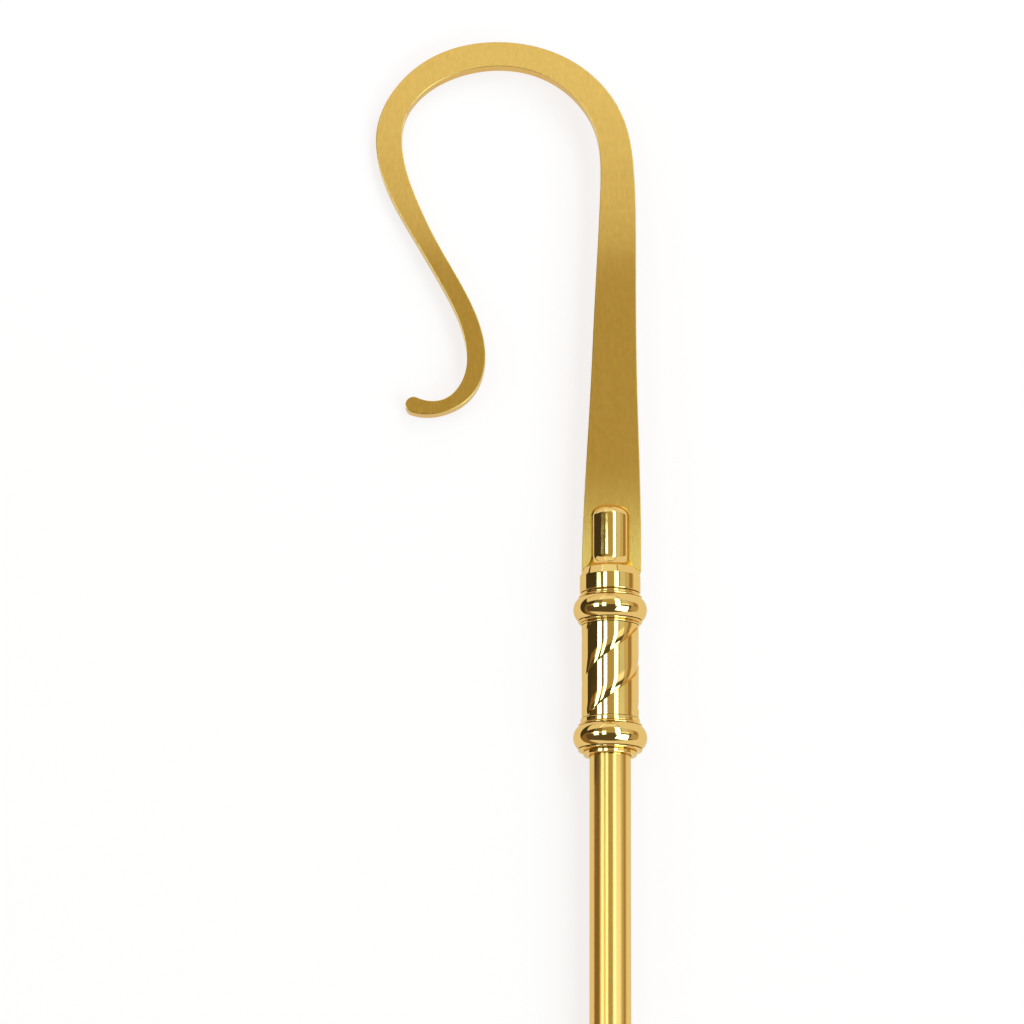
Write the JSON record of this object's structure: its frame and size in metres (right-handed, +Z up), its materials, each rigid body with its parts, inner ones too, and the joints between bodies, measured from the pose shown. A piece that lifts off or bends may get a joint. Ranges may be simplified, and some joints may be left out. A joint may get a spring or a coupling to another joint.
{
  "type": "bishop crosier",
  "caption": "Bishop's crosier in brass: a flat curled crook in a turned, slotted cap, bead rings round a twisted barrel, and a long tube staff with a plain foot.",
  "frame": {"origin": "on the surface that the crosier lies on, under the middle of its bounding box", "axes": "+Z up, +Y along the lying staff towards the crook's top, +X away from the crook's curled end"},
  "size_m": [0.1696, 1.8502, 0.0461],
  "materials": {
    "satin_plate": "brass brushed lengthwise to a soft satin sheen, lacquered",
    "polished_brass": "brass turned and buffed to a mirror polish, lacquered",
    "satin_tube": "brass tube with a smooth satin polish along its length, lacquered"
  },
  "bodies": {
    "root": {"hook": "satin_plate", "socket_cap": "polished_brass", "upper_bead": "polished_brass", "twist_barrel": "polished_brass", "lower_bead": "polished_brass", "staff": "satin_tube", "foot_ferrule": "polished_brass"}
  },
  "joints": []
}
